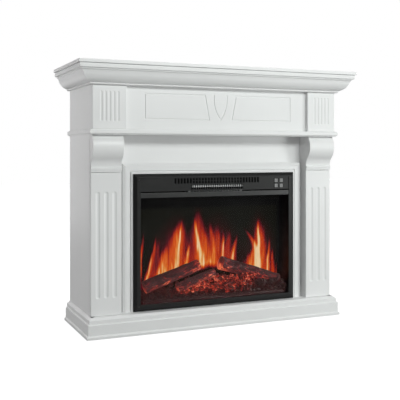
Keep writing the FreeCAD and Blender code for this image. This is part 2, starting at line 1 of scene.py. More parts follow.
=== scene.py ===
import json
import math

import bmesh
import bpy
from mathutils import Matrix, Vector, noise
from mathutils.bvhtree import BVHTree

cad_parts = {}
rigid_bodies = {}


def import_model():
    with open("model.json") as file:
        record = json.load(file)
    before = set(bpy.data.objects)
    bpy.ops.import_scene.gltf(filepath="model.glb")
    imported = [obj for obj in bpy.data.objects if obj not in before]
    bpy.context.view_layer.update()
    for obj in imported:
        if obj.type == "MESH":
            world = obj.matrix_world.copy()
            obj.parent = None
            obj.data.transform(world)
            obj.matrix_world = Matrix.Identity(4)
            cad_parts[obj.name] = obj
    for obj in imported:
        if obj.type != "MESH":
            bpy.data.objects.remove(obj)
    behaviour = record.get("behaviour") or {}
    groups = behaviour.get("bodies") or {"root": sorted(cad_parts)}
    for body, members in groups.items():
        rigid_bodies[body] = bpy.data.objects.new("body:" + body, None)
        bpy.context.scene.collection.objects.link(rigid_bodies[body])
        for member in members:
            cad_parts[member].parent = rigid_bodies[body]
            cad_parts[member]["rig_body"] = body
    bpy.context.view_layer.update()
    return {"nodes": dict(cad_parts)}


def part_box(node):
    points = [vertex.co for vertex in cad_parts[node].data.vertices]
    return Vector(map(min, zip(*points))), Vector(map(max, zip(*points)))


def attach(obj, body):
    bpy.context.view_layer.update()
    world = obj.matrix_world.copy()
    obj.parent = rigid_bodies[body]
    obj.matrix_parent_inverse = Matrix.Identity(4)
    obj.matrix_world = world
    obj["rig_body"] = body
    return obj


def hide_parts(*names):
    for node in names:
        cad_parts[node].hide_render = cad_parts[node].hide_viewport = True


# The looks of a white mantel fireplace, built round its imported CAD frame.
# Metres, in the frame's own axes: X to the viewer's right, Y to the back, Z up.

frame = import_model()
MM = 0.001
HEAP_TOP = 0.215  # the height up to which the logs and coals hide the flames, in the middle
HEAP_SLOPE = 0.27  # how fast that height falls away to each side

# ---- Node materials ---------------------------------------------------------------


class Look:
    """One material's node tree. Places are read in the object's own frame, in metres."""

    def __init__(self, name):
        self.material = bpy.data.materials.new(name)
        self.material.use_nodes = True
        self.nodes = self.material.node_tree.nodes
        self.links = self.material.node_tree.links
        self.shader = self.nodes["Principled BSDF"]
        self.place = self.nodes.new("ShaderNodeTexCoord").outputs["Object"]

    def node(self, kind, inputs=None, **settings):
        """A node with its settings made and its inputs filled from values or other sockets."""
        made = self.nodes.new("ShaderNode" + kind)
        for key, value in settings.items():
            setattr(made, key, value)
        for key, value in (inputs or {}).items():
            self.feed(made.inputs[key], value)
        return made

    def feed(self, socket, value):
        if isinstance(value, bpy.types.NodeSocket):
            self.links.new(value, socket)
        else:
            socket.default_value = value

    def set(self, **inputs):
        """The shader's own sockets; an underscore stands for a space."""
        for key, value in inputs.items():
            self.feed(self.shader.inputs[key.replace("_", " ")], value)

    def math(self, operation, a, b=0.0):
        return self.node("Math", {0: a, 1: b}, operation=operation).outputs[0]

    def squeezed(self, up):
        """The place, with its height scaled, so that noise is drawn out upwards."""
        made = self.node("Mapping", {"Vector": self.place, "Scale": (1.0, 1.0, up)})
        return made.outputs["Vector"]

    def noise(self, scale, detail=3.0, rough=0.5, vector=None):
        inputs = {"Vector": vector or self.place, "Scale": scale, "Detail": detail, "Roughness": rough}
        return self.node("TexNoise", inputs).outputs["Fac"]

    def range(self, value, low, high, new_low, new_high, smooth=False):
        """A value from low to high, carried over to new_low to new_high and held at both ends."""
        kind = "SMOOTHSTEP" if smooth else "LINEAR"
        inputs = {"Value": value, "From Min": low, "From Max": high, "To Min": new_low, "To Max": new_high}
        return self.node("MapRange", inputs, interpolation_type=kind).outputs["Result"]

    def mix(self, factor, a, b):
        """A colour between two colours."""
        made = self.node("Mix", {"Factor": factor}, data_type="RGBA")
        self.feed(made.inputs[6], a)
        self.feed(made.inputs[7], b)
        return made.outputs[2]

    def ramp(self, value, stops):
        """A colour ramp from (position, colour) stops."""
        made = self.node("ValToRGB", {"Fac": value})
        ramp = made.color_ramp
        while len(ramp.elements) < len(stops):
            ramp.elements.new(0.5)
        for element, (position, colour) in zip(ramp.elements, stops):
            element.position = position
            element.color = colour
        return made.outputs["Color"]

    def bump(self, height, distance):
        return self.node("Bump", {"Height": height, "Distance": distance}).outputs["Normal"]


def grey(level):
    return (level, level, level, 1.0)


def tint(code):
    """A colour from its sRGB hex code."""
    channels = [int(code[i:i + 2], 16) / 255 for i in (0, 2, 4)]
    return tuple(c / 12.92 if c <= 0.04045 else ((c + 0.055) / 1.055) ** 2.4 for c in channels) + (1.0,)


def coated(name, colour, drift, rough, grain, relief, metallic=0.0, shine=0.5):
    """A coated or moulded surface: cloudy colour, uneven gloss, and a grain of a real size and height."""
    look = Look(name)
    cloud = look.noise(6.0, 4.0)
    darker = tuple(channel * (1 - drift) for channel in colour[:3]) + (1.0,)
    tone = look.mix(look.range(cloud, 0.3, 0.7, 0.0, 1.0), darker, colour)
    gloss = look.range(look.noise(30.0, 3.0), 0.3, 0.7, *rough)
    normal = look.bump(look.noise(1 / grain, 2.0), relief)
    look.set(Base_Color=tone, Roughness=gloss, Normal=normal, Metallic=metallic, Specular_IOR_Level=shine)
    return look.material


def white_paint():
    """Satin lacquer on MDF: a faint orange peel and very even gloss."""
    look = Look("white_paint")
    cloud = look.noise(3.5, 3.0)
    tone = look.mix(look.range(cloud, 0.35, 0.65, 0.0, 1.0), grey(0.80), grey(0.825))
    peel = look.noise(330.0, 2.0)
    roll = look.noise(45.0, 2.0)
    height = look.math("ADD", peel, look.math("MULTIPLY", roll, 0.6))
    gloss = look.range(look.noise(28.0, 3.0), 0.3, 0.7, 0.36, 0.44)
    look.set(Base_Color=tone, Roughness=gloss, Normal=look.bump(height, 0.00006))
    return look.material


def raw_board():
    """Bare MDF on the faces that the room never sees."""
    look = Look("raw_board")
    fibre = look.noise(900.0, 5.0, 0.7)
    cloud = look.noise(18.0, 3.0)
    blend = look.math("ADD", look.math("MULTIPLY", fibre, 0.6), look.math("MULTIPLY", cloud, 0.4))
    tone = look.mix(look.range(blend, 0.35, 0.65, 0.0, 1.0), (0.30, 0.19, 0.105, 1), (0.46, 0.315, 0.19, 1))
    gloss = look.range(fibre, 0.3, 0.7, 0.72, 0.9)
    look.set(Base_Color=tone, Roughness=gloss, Normal=look.bump(fibre, 0.0001))
    return look.material


# The flames on the screen, as tongues: base x and z, tip x and z, half width, bend, heat. The last
# three are the dull red haze behind the others.
FLAMES = [
    (-0.283, 0.120, -0.264, 0.362, 0.014, 0.000, 0.46),
    (-0.281, 0.120, -0.269, 0.290, 0.008, 0.000, 0.36),
    (-0.262, 0.120, -0.213, 0.352, 0.018, 0.006, 0.42),
    (-0.258, 0.120, -0.229, 0.290, 0.008, 0.004, 0.38),
    (-0.234, 0.130, -0.198, 0.340, 0.032, 0.000, 0.17),
    (-0.166, 0.110, -0.111, 0.408, 0.084, 0.003, 0.52),
    (-0.205, 0.120, -0.170, 0.300, 0.034, 0.000, 0.30),
    (-0.212, 0.130, -0.184, 0.290, 0.020, 0.000, 0.34),
    (-0.141, 0.140, -0.113, 0.402, 0.014, 0.003, 0.44),
    (-0.103, 0.160, -0.077, 0.308, 0.013, 0.000, 0.46),
    (-0.030, 0.130, -0.045, 0.448, 0.072, -0.005, 0.42),
    (0.000, 0.150, -0.030, 0.370, 0.034, 0.000, 0.22),
    (-0.014, 0.140, -0.061, 0.408, 0.019, -0.004, 0.56),
    (0.013, 0.160, 0.002, 0.390, 0.028, 0.003, 0.38),
    (0.036, 0.160, 0.030, 0.372, 0.044, 0.000, 0.28),
    (0.057, 0.160, 0.059, 0.344, 0.019, 0.000, 0.42),
    (0.056, 0.160, 0.060, 0.318, 0.010, 0.000, 0.40),
    (0.080, 0.160, 0.083, 0.356, 0.032, 0.000, 0.26),
    (0.095, 0.160, 0.119, 0.336, 0.020, -0.003, 0.42),
    (0.095, 0.160, 0.111, 0.298, 0.010, -0.002, 0.38),
    (0.152, 0.150, 0.186, 0.272, 0.044, 0.000, 0.42),
    (0.198, 0.120, 0.215, 0.394, 0.052, 0.003, 0.46),
    (0.188, 0.140, 0.131, 0.360, 0.026, 0.040, 0.44),
    (0.206, 0.130, 0.211, 0.380, 0.015, 0.000, 0.56),
    (0.233, 0.120, 0.237, 0.318, 0.024, 0.000, 0.20),
    (0.251, 0.110, 0.256, 0.316, 0.018, 0.000, 0.40),
    (0.246, 0.110, 0.252, 0.276, 0.012, 0.000, 0.44),
    (0.275, 0.110, 0.269, 0.270, 0.015, 0.000, 0.42),
    (0.293, 0.100, 0.289, 0.232, 0.012, 0.000, 0.52),
    (-0.160, 0.080, -0.130, 0.430, 0.180, 0.000, 0.17),
    (0.040, 0.080, 0.030, 0.430, 0.200, 0.000, 0.15),
    (0.220, 0.080, 0.210, 0.430, 0.130, 0.000, 0.16),
]
FIRE_COLOURS = [
    (0.00, "13130f"), (0.09, "21120f"), (0.20, "51131d"), (0.34, "962218"), (0.48, "bc3c14"),
    (0.62, "d0581a"), (0.76, "d88a3c"), (0.88, "dcae72"), (1.00, "e6c79a"),
]


def tongue(look, x, z, base_x, base_z, tip_x, tip_z, half_width, bend, heat):
    """How hot one tongue of flame is at a place on the screen."""
    rise = look.range(z, base_z, tip_z, 0.0, 1.0)
    left = look.math("SUBTRACT", 1.0, rise)
    bow = look.math("MULTIPLY", look.math("MULTIPLY", rise, left), 4 * bend)
    middle = look.math("ADD", look.range(z, base_z, tip_z, base_x, tip_x), bow)
    aside = look.math("ABSOLUTE", look.math("SUBTRACT", x, middle))
    width = look.math("MULTIPLY", look.math("POWER", left, 0.65), half_width)
    share = look.math("DIVIDE", aside, look.math("MAXIMUM", width, 0.0004))
    body = look.range(share, 0.0, 1.25, heat, 0.0, smooth=True)
    return look.math("MULTIPLY", body, look.range(left, 0.0, 0.3, 0.0, 1.0, smooth=True))


def flame_look(low, high):
    """Dark acrylic with the flames on it, inside a black border at the top and the sides."""
    look = Look("flame_screen")
    split = look.node("SeparateXYZ", {0: look.place}).outputs
    sway = look.noise(9.0, 2.0, vector=look.squeezed(0.55))
    curl = look.noise(42.0, 3.0, vector=look.squeezed(0.3))
    x = look.math("ADD", split["X"], look.range(sway, 0.0, 1.0, -0.012, 0.012))
    x = look.math("ADD", x, look.range(curl, 0.0, 1.0, -0.005, 0.005))
    z = look.math("ADD", split["Z"], look.range(curl, 0.0, 1.0, 0.008, -0.008))
    heat = 0.0
    for flame in FLAMES:
        heat = look.math("ADD", heat, tongue(look, x, z, *flame))
    licks = look.noise(170.0, 4.0, vector=look.squeezed(0.09))
    heat = look.math("MULTIPLY", heat, look.range(licks, 0.28, 0.72, 0.64, 1.22))
    # The fire fades out behind the heap.
    fall = look.math("MULTIPLY", look.math("ABSOLUTE", split["X"]), HEAP_SLOPE)
    above = look.math("SUBTRACT", split["Z"], look.math("SUBTRACT", HEAP_TOP, fall))
    heat = look.math("MULTIPLY", heat, look.range(above, -0.02, 0.012, 0.05, 1.0, smooth=True))
    colour = look.ramp(heat, [(position, tint(code)) for position, code in FIRE_COLOURS])
    top_border, side_border = 48 * MM, 13 * MM
    inside = look.math("LESS_THAN", split["Z"], high.z - top_border)
    inside = look.math("MULTIPLY", inside, look.math("LESS_THAN", split["X"], high.x - side_border))
    inside = look.math("MULTIPLY", inside, look.math("GREATER_THAN", split["X"], low.x + side_border))
    colour = look.mix(inside, tint("0b0b0b"), colour)
    speckle = look.noise(500.0, 2.0)
    look.set(Base_Color=look.mix(speckle, grey(0.002), grey(0.004)), Roughness=0.4)
    look.set(Specular_IOR_Level=0.05, Emission_Color=colour, Emission_Strength=1.0)
    return look.material


def glowing(name, char, ash, glow_stops):
    """Moulded bark or coal, lit from inside: the mesh's own "glow" says where it is thin, and also holds
    painted light on the faces that look down.
    """
    look = Look(name)
    crust = look.noise(160.0, 4.0, 0.65)
    cloud = look.noise(26.0, 3.0)
    tone = look.mix(look.range(crust, 0.35, 0.7, 0.0, 1.0), tint(char), tint(ash))
    # The glow read here includes painted light: the undersides of the logs and lumps glow brighter.
    thin = look.node("Attribute", attribute_name="glow").outputs["Fac"]
    breath = look.range(cloud, 0.35, 0.65, 0.35, 1.1)
    hot = look.math("MULTIPLY", thin, breath)
    hot = look.math("ADD", hot, look.range(crust, 0.4, 0.8, -0.04, 0.06))
    colour = look.ramp(hot, [(position, tint(code)) for position, code in glow_stops])
    grain = look.bump(look.noise(700.0, 3.0), 0.0002)
    look.set(Base_Color=tone, Roughness=look.range(crust, 0.3, 0.7, 0.62, 0.85), Normal=grain)
    look.set(Emission_Color=colour, Emission_Strength=1.0)
    return look.material


def glass_look():
    """Clear toughened glass with a trace of dust. Its low index stands for an anti-glare face."""
    look = Look("front_glass")
    dust = look.noise(60.0, 4.0)
    look.set(Base_Color=look.mix(look.range(dust, 0.4, 0.7, 0.0, 1.0), grey(0.97), grey(0.93)))
    look.set(Roughness=0.0, IOR=1.12, Transmission_Weight=1.0)
    return look.material


BARK_GLOW = [(0.0, "1e1010"), (0.25, "3c181b"), (0.5, "741f1e"), (0.75, "b84030"), (1.0, "e87a50")]
COAL_GLOW = [(0.0, "160a0a"), (0.16, "441312"), (0.34, "94241c"), (0.55, "d04a30"), (0.85, "f0906a")]
LOOKS = {
    "white_mdf": white_paint(),
    "black_bezel": coated("black_coat", grey(0.0125), 0.25, (0.36, 0.46), 0.0011, 0.00005, shine=0.3),
    "silver_grille": coated("silver_paint", grey(0.33), 0.15, (0.3, 0.42), 0.0009, 0.00004, 0.6),
    "grey_button": coated("button_rubber", grey(0.30), 0.15, (0.5, 0.62), 0.0008, 0.00005),
    "black_sheet": coated("black_sheet", grey(0.010), 0.3, (0.5, 0.68), 0.0014, 0.00008),
    "bright_strip": coated("bright_foil", grey(0.8), 0.1, (0.1, 0.2), 0.004, 0.0002, 1.0),
    "motor_can": coated("zinc_can", grey(0.45), 0.2, (0.32, 0.46), 0.0012, 0.00004, 1.0),
    "fan_metal": coated("fan_metal", grey(0.5), 0.2, (0.35, 0.5), 0.0014, 0.00004, 1.0),
    "heater_metal": coated("heater_metal", grey(0.4), 0.25, (0.35, 0.5), 0.0014, 0.00005, 1.0),
    "circuit_board": coated("circuit_board", (0.02, 0.11, 0.045, 1), 0.3, (0.3, 0.45), 0.002, 0.00004),
    "zinc_steel": coated("zinc_steel", grey(0.5), 0.25, (0.3, 0.5), 0.003, 0.00004, 1.0),
    "black_plastic": coated("black_plastic", grey(0.022), 0.2, (0.42, 0.56), 0.0009, 0.00006),
    "log_bark": glowing("log_bark", "160e0e", "3a2422", BARK_GLOW),
    "ember_bed": glowing("coals", "140d0c", "2c1b19", COAL_GLOW),
    "clear_glass": glass_look(),
    "flame_screen": flame_look(*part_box("flame_screen")),
}
RAW_BOARD = raw_board()
BOX = {name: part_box(name) for name in frame["nodes"]}
SLOT_OF = {name: node.data.materials[0].name for name, node in frame["nodes"].items()}
BODY_OF = {name: node["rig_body"] for name, node in frame["nodes"].items()}
for name, node in frame["nodes"].items():
    node.data.materials[0] = LOOKS[SLOT_OF[name]]

# ---- Pieces -----------------------------------------------------------------------


def finish_piece(bm, name, looks, replaced=(), body="mantel", smooth_angle=40):
    """A mesh as a piece of the object: named, shaded, on its body, and standing for its CAD nodes."""
    for face in bm.faces:
        face.smooth = True
    for edge in bm.edges:
        edge.smooth = edge.calc_face_angle(0.0) < math.radians(smooth_angle)
    mesh = bpy.data.meshes.new(name)
    bm.to_mesh(mesh)
    bm.free()
    for look in looks:
        mesh.materials.append(look)
    piece = bpy.data.objects.new(name, mesh)
    bpy.context.scene.collection.objects.link(piece)
    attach(piece, body)
    if replaced:
        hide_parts(*replaced)
    weighted = piece.modifiers.new("flat_faces", "WEIGHTED_NORMAL")
    weighted.keep_sharp = True


TREES = {}  # each CAD node's surface, to find what lies close to a point
for name, node in frame["nodes"].items():
    corners = [vertex.co.copy() for vertex in node.data.vertices]
    TREES[name] = BVHTree.FromPolygons(corners, [polygon.vertices[:] for polygon in node.data.polygons])


def covered(label, point):
    """True if another CAD piece lies against this one at a point."""
    touch = 0.12 * MM
    for other, tree in TREES.items():
        if other != label and tree.find_nearest(point, touch)[0] is not None:
            return True
    return False


def open_arris(label, edge):
    """True for a sharp edge whose two faces have no neighbour lying on them just beside it."""
    sharp, inset = math.radians(28), 0.8 * MM
    if len(edge.link_faces) != 2 or edge.calc_face_angle(0.0) < sharp:
        return False
    middle = (edge.verts[0].co + edge.verts[1].co) / 2
    along = (edge.verts[1].co - edge.verts[0].co).normalized()
    for face in edge.link_faces:
        inward = face.normal.cross(along)
        if inward.dot(face.calc_center_median() - middle) < 0:
            inward.negate()
        if covered(label, middle + inward * inset):
            return False
    return True


def cad_copy(label):
    """A CAD node's mesh with its split corners joined and its flat faces whole."""
    bm = bmesh.new()
    bm.from_mesh(frame["nodes"][label].data)
    bmesh.ops.remove_doubles(bm, verts=bm.verts, dist=0.002 * MM)
    bmesh.ops.dissolve_limit(bm, angle_limit=math.radians(0.4), verts=bm.verts, edges=bm.edges)
    bm.normal_update()
    return bm


def bar(bm, low, high, ease):
    """One rectangular bar with eased edges, added to a mesh."""
    made = bmesh.ops.create_cube(bm, size=1.0)["verts"]
    middle, size = (Vector(low) + Vector(high)) / 2, Vector(high) - Vector(low)
    for vertex in made:
        vertex.co = Vector([middle[i] + vertex.co[i] * size[i] for i in range(3)])
    edges = list(dict.fromkeys(edge for vertex in made for edge in vertex.link_edges))
    bmesh.ops.bevel(bm, geom=edges, offset=ease, segments=2, profile=0.5, affect="EDGES")


def pane(label, name, ease):
    """A flat CAD panel, shown with eased edges."""
    bm = bmesh.new()
    bar(bm, *BOX[label], ease)
    slot = SLOT_OF[label]
    finish_piece(bm, name, [LOOKS[slot]], [label], BODY_OF[label])


def skin(bm, loops):
    """Faces between each loop of points and the next, and one over each end."""
    for one, two in zip(loops, loops[1:]):
        for step in range(len(one)):
            after = (step + 1) % len(one)
            bm.faces.new((one[step], one[after], two[after], two[step]))
    bm.faces.new(loops[0][::-1])
    bm.faces.new(loops[-1])
    bmesh.ops.recalc_face_normals(bm, faces=bm.faces)


def inside_mantel(point):
    """True in the space behind the front boards, and for what faces the wall or the floor."""
    walls, back = -BOX["side_panel_left"][1].x, BOX["side_panel_left"][1].y
    front, top = BOX["header_panel"][1].y, BOX["side_panel_left"][1].z
    within = abs(point.x) < walls and point.y > front - MM / 2 and point.z < top
    return within or point.y > back + MM / 2 or point.z < BOX["plinth_front"][0].z - MM / 2


def bare(face):
    """True for an unpainted face: one wholly inside, or a board's broad face that looks in or back."""
    outside = face.normal * MM * 0.8
    hidden = all(inside_mantel(vertex.co + outside) for vertex in face.verts)
    inwards = abs(face.normal.x) > 0.9 and face.calc_area() > 0.1
    backwards = face.normal.y > 0.9 and face.calc_area() > 0.01
    return hidden or (inwards or backwards) and inside_mantel(face.calc_center_median() + outside)


def softened(label, width, segments=3, look=None):
    """A CAD node with its open arrises eased. Edges against a neighbour stay tight."""
    bm = cad_copy(label)
    arrises = [edge for edge in bm.edges if open_arris(label, edge)]
    bmesh.ops.bevel(bm, geom=arrises, offset=width, offset_type="OFFSET", segments=segments,
                    profile=0.5, affect="EDGES", clamp_overlap=True)
    slot = SLOT_OF[label]
    looks = [look or LOOKS[slot]]
    if slot == "white_mdf":
        looks.append(RAW_BOARD)
        for face in bm.faces:
            face.material_index = int(bare(face))
    finish_piece(bm, label + "_shell", looks, [label], BODY_OF[label])


for label, slot in SLOT_OF.items():
    if slot == "white_mdf":
        softened(label, 1.1 * MM)
    elif slot == "black_bezel" and label != "window_strip":
        softened(label, 0.5 * MM)
softened("window_strip", 0.6 * MM, look=coated("black_strip", grey(0.026), 0.2, (0.3, 0.4), 0.0011, 0.00004))

# ---- The fire ---------------------------------------------------------------------


def ridges(place, across, depth):
    """Bark height at a place, broad lumps less sharp grooves, and how far into a groove it is, 0 to 1."""
    lumps = noise.noise(place * 24.0) * 1.1 + noise.noise(place * 70.0) * 0.5
    line = abs(noise.noise(across))
    fine = abs(noise.noise(place * 62.0 + Vector((7.1, 3.3, 1.7))))
    groove = max(0.0, 1.0 - line / 0.17) + 0.6 * max(0.0, 1.0 - fine / 0.10)
    return (lumps - groove) * depth, min(groove, 1.0)


def bark_log(label, leans, seed, depth=1.7 * MM, heat=1.0, hot_end=0.0, inset=5 * MM, taper=0.9):
    """A moulded log: a bent taper with furrowed bark and two cut ends.

    It rises to the right where leans is 1, to the left where it is -1, and lies level where it is 0.
    """
    low, high = BOX[label]
    radius = (high.y - low.y) / 2 * 0.94  # the bark's ridges fill the rest
    small = radius * taper
    y = (low.y + high.y) / 2
    if leans > 0:
        start, end = Vector((low.x + inset, y, low.z + radius)), Vector((high.x - inset, y, high.z - small))
    elif leans < 0:
        start, end = Vector((high.x - inset, y, low.z + small)), Vector((low.x + inset, y, high.z - radius))
        radius, small = small, radius
    else:
        start, end = Vector((low.x, y, (low.z + high.z) / 2)), Vector((high.x, y, (low.z + high.z) / 2))
    along = (end - start).normalized()
    side = along.cross(Vector((0, 0, 1))).normalized()
    up = side.cross(along)
    length = (end - start).length
    rings, around = max(24, int(length / (1.7 * MM))), 84
    bend = radius * 0.16
    bm = bmesh.new()
    glow = bm.verts.layers.float.new("glow")

    def ring(share, inward, sunk):
        """One ring of points; inward is how far it has shrunk towards the axis on a cut end."""
        loop = []
        sway = noise.noise(Vector((share * 2.2, seed, 0)))
        lift = noise.noise(Vector((share * 2.2, 0, seed)))
        centre = start.lerp(end, share) + Vector((0, sway, lift)) * bend + along * sunk
        reach = radius + (small - radius) * share
        for step in range(around):
            turn = 2 * math.pi * step / around
            out = side * math.cos(turn) + up * math.sin(turn)
            place = centre + out * reach
            across = Vector((math.cos(turn) * 2.2, math.sin(turn) * 2.2, share * length * 26 + seed))
            height, groove = ridges(place + Vector((seed, 0, 0)), across, depth)
            if inward > 0:
                groove = 0.35 + 0.65 * abs(math.sin(inward * 17)) * (1 - inward)
                height *= 1 - inward
            vertex = bm.verts.new(centre + out * (reach * (1 - inward) + height))
            # Painted light: the glow is stronger on the faces that look down, light painted on the log's
            # underside. The grooves' glow is the log's own.
            painted_underlight = 0.5 - 0.5 * out.z
            crack_glow_and_underlight = groove * (0.35 + 0.65 * painted_underlight) + 0.25 * painted_underlight
            vertex[glow] = heat * crack_glow_and_underlight + hot_end * max(0, share - 0.8) * 3
            loop.append(vertex)
        return loop

    bite = 0.8 * MM
    inner = (0.35, 1.1, 2.2, 3.4, 4.5, 5.6)  # the cut end's rings, from the rim; 6 would be its middle
    loops = [ring(0, i / 6, bite * i * 0.2) for i in reversed(inner)]
    loops += [ring(i / rings, 0, 0) for i in range(rings + 1)]
    loops += [ring(1, i / 6, -bite * i * 0.2) for i in inner]
    skin(bm, loops)
    finish_piece(bm, label + "_bark", [LOOKS["log_bark"]], [label], smooth_angle=60)


def scattered(seed):
    """A repeatable stream of numbers from 0 to 1."""
    state = seed
    while True:
        state = (state * 1103515245 + 12345) % 2147483648
        yield state / 2147483648


def coal(bm, glow, centre, size, numbers, heat, detail=2):
    """One lump of coal: a broken ball with flat facets, hottest in its cracks, with painted light on its
    underside.
    """
    made = bmesh.ops.create_icosphere(bm, subdivisions=detail, radius=1.0)
    shift = Vector([next(numbers) * 50 for _ in range(3)])
    stretch = Vector([0.75 + 0.5 * next(numbers) for _ in range(3)])
    cuts = [Vector([next(numbers) - 0.5 for _ in range(3)]).normalized() for _ in range(6)]
    for vertex in made["verts"]:
        way = vertex.co.normalized()
        reach = 1.0
        for cut in cuts:
            facing = way.dot(cut)
            if facing > 0.0:
                reach = min(reach, 0.72 / facing)  # a flat facet across the ball
        rough = noise.noise(way * 2.1 + shift) * 0.12 + noise.noise(way * 5.3 + shift) * 0.07
        line = abs(noise.noise(way * 1.7 + shift * 2))
        crack = max(0.0, 1.0 - line / 0.10)
        place = way * (reach + rough - crack * 0.10)
        vertex.co = centre + Vector([place[i] * stretch[i] * size for i in range(3)])
        # Painted light: the faces that look down glow more, light painted on the lump's underside.
        painted_underside_light = max(0.0, -way.z)
        patch = noise.noise(way * 3 + shift)
        vertex[glow] = heat * (0.25 + 0.75 * crack + 0.45 * painted_underside_light + 0.2 * patch)


def coal_bed():
    """Lumps over the whole bed and two hot heaps on them, with a dark row in front and large dark
    lumps at the right end.
    """
    low, high = BOX["ember_bed"]
    tree = TREES["ember_bed"]
    numbers = scattered(71)
    bm = bmesh.new()
    glow = bm.verts.layers.float.new("glow")
    span, deep = high.x - low.x, high.y - low.y
    bed_lumps, row_lumps, end_lumps = 520, 70, 26
    hot_x, hot_reach = 0.01, 0.15
    front_top, back_rise = 0.115, 0.08
    end_x, end_reach = 0.195, 0.1
    for _ in range(bed_lumps):
        x = low.x + (0.02 + 0.96 * next(numbers)) * span
        share = next(numbers)
        y = low.y + (0.04 + 0.8 * share) * deep
        floor = tree.ray_cast(Vector((x, y, 1)), Vector((0, 0, -1)))[0].z
        size = (4.5 + 4.0 * next(numbers)) * MM
        middle = math.exp(-((x - hot_x) / hot_reach) ** 2)
        roof = front_top + (back_rise - HEAP_SLOPE * abs(x)) * share ** 0.6
        z = floor + size * 0.2 + next(numbers) * max(0.0, roof - floor)
        heat = (0.12 + 0.9 * middle) * (0.25 + 0.9 * next(numbers))
        coal(bm, glow, Vector((x, y, z)), size, numbers, heat)
    # Each heap: its middle's x and z, half its width and height, how many lumps, how hot.
    heaps = [(-0.085, 0.142, 0.062, 0.016, 90, 1.25), (0.085, 0.155, 0.085, 0.023, 140, 1.3)]
    for x, z, wide, tall, count, heat in heaps:
        for _ in range(count):
            aside, rise = 2 * next(numbers) - 1, 2 * next(numbers) - 1
            y = low.y - (2 + 7 * next(numbers)) * MM
            place = Vector((x + wide * aside, y, z + tall * rise + 0.08 * aside * wide))
            size = (3.6 + 3.2 * next(numbers)) * MM
            coal(bm, glow, place, size, numbers, heat * (0.15 + 1.0 * next(numbers)))
    for number in range(row_lumps):
        x = low.x + (0.01 + 0.98 * (number + next(numbers)) / row_lumps) * span
        z = low.z + (26 + 16 * next(numbers)) * MM
        coal(bm, glow, Vector((x, low.y - 3 * MM, z)), (6 + 4 * next(numbers)) * MM, numbers, 0.12)
    for _ in range(end_lumps):
        x = end_x + end_reach * next(numbers)
        y = low.y + (0.05 + 0.5 * next(numbers)) * deep
        z = low.z + (22 + 48 * next(numbers)) * MM
        coal(bm, glow, Vector((x, y, z)), (11 + 5 * next(numbers)) * MM, numbers, 0.1, detail=3)
    finish_piece(bm, "coals", [LOOKS["ember_bed"]], smooth_angle=30)


# ---- Controls and small parts -------------------------------------------------------


def outlet_grille():
    """Black frame, rail and fins, with a silver deflector blade leaning back behind the upper half."""
    low, high = BOX["outlet_grille"]
    bm = bmesh.new()
    rim, rail, thin, pitch, fins = 1.8 * MM, 1.2 * MM, 0.9 * MM, 9 * MM, 23
    bar(bm, low, (high.x, high.y, low.z + rim), 0.4 * MM)
    bar(bm, (low.x, low.y, high.z - rim), high, 0.4 * MM)
    bar(bm, (low.x, low.y, low.z + rim), (low.x + rim, high.y, high.z - rim), 0.3 * MM)
    bar(bm, (high.x - rim, low.y, low.z + rim), (high.x, high.y, high.z - rim), 0.3 * MM)
    middle = low.z + 8.5 * MM
    bar(bm, (low.x + rim, low.y + MM, middle), (high.x - rim, low.y + 5 * MM, middle + rail), 0.3 * MM)
    for number in range(fins):
        x = (number - fins // 2) * pitch
        bar(bm, (x - thin, low.y + 0.6 * MM, low.z + rim), (x + thin, high.y, high.z - rim), 0.3 * MM)
    top, root = high.z - rim, middle + rail
    front, back = low.y + 2.5 * MM, low.y + 6.5 * MM
    corners = [(front, root), (front + MM, root), (back + MM, top), (back, top)]
    ends = []
    for x in (low.x + rim, high.x - rim):
        ends.append([bm.verts.new((x, y, z)) for y, z in corners])
    for one, two in ((0, 1), (1, 2), (2, 3), (3, 0)):
        face = bm.faces.new((ends[0][one], ends[1][one], ends[1][two], ends[0][two]))
        face.material_index = 1
    bmesh.ops.recalc_face_normals(bm, faces=bm.faces)
    looks = [LOOKS["black_bezel"], LOOKS["silver_grille"]]
    finish_piece(bm, "outlet_grille_fins", looks, ["outlet_grille"])


def slot_filter():
    """Black ribbed filter behind the fascia's slots."""
    high = BOX["control_fascia"][1]
    bm = bmesh.new()
    reach, bottom, top, front = 0.178, high.z - 22.5 * MM, high.z - MM, high.y + 0.2 * MM
    bar(bm, (-reach, front, bottom), (reach, high.y + 0.9 * MM, top), 0.1 * MM)
    thread, pitch = 0.25 * MM, 2.2 * MM
    for number in range(int(2 * reach / pitch)):
        x = -reach + pitch * (number + 0.5)
        bar(bm, (x - thread, front - 0.15 * MM, bottom), (x + thread, front, top), 0.05 * MM)
    weave = coated("filter_weave", grey(0.002), 0.3, (0.7, 0.9), 0.0008, 0.00005, shine=0.1)
    finish_piece(bm, "slot_filter", [weave])


def screw(bm, head, radius, facing):
    """A low domed screw head with a cross recess. It faces +Y where facing is 1, and -Y where it is -1."""
    around, rows = 24, 5
    dome, recess = radius * 0.45, radius * 0.28
    rings = []
    for row in range(rows + 1):
        turn = math.pi / 2 * row / rows
        reach, rise = radius * math.cos(turn), dome * math.sin(turn)
        if row == rows:
            reach = radius * 0.02
        loop = []
        for step in range(around):
            angle = 2 * math.pi * step / around
            cross = abs(math.sin(2 * angle)) < 0.5 and reach < radius * 0.6
            sunk = recess if cross else 0.0
            x, z = reach * math.cos(angle), reach * math.sin(angle)
            loop.append(bm.verts.new((head[0] + x, head[1] + facing * (rise - sunk), head[2] + z)))
        rings.append(loop)
    skin(bm, rings)


def screws(name, heads, radius, facing, slot):
    """Screws of one kind as one piece."""
    bm = bmesh.new()
    for head in heads:
        screw(bm, head, radius, facing)
    finish_piece(bm, name, [LOOKS[slot]])


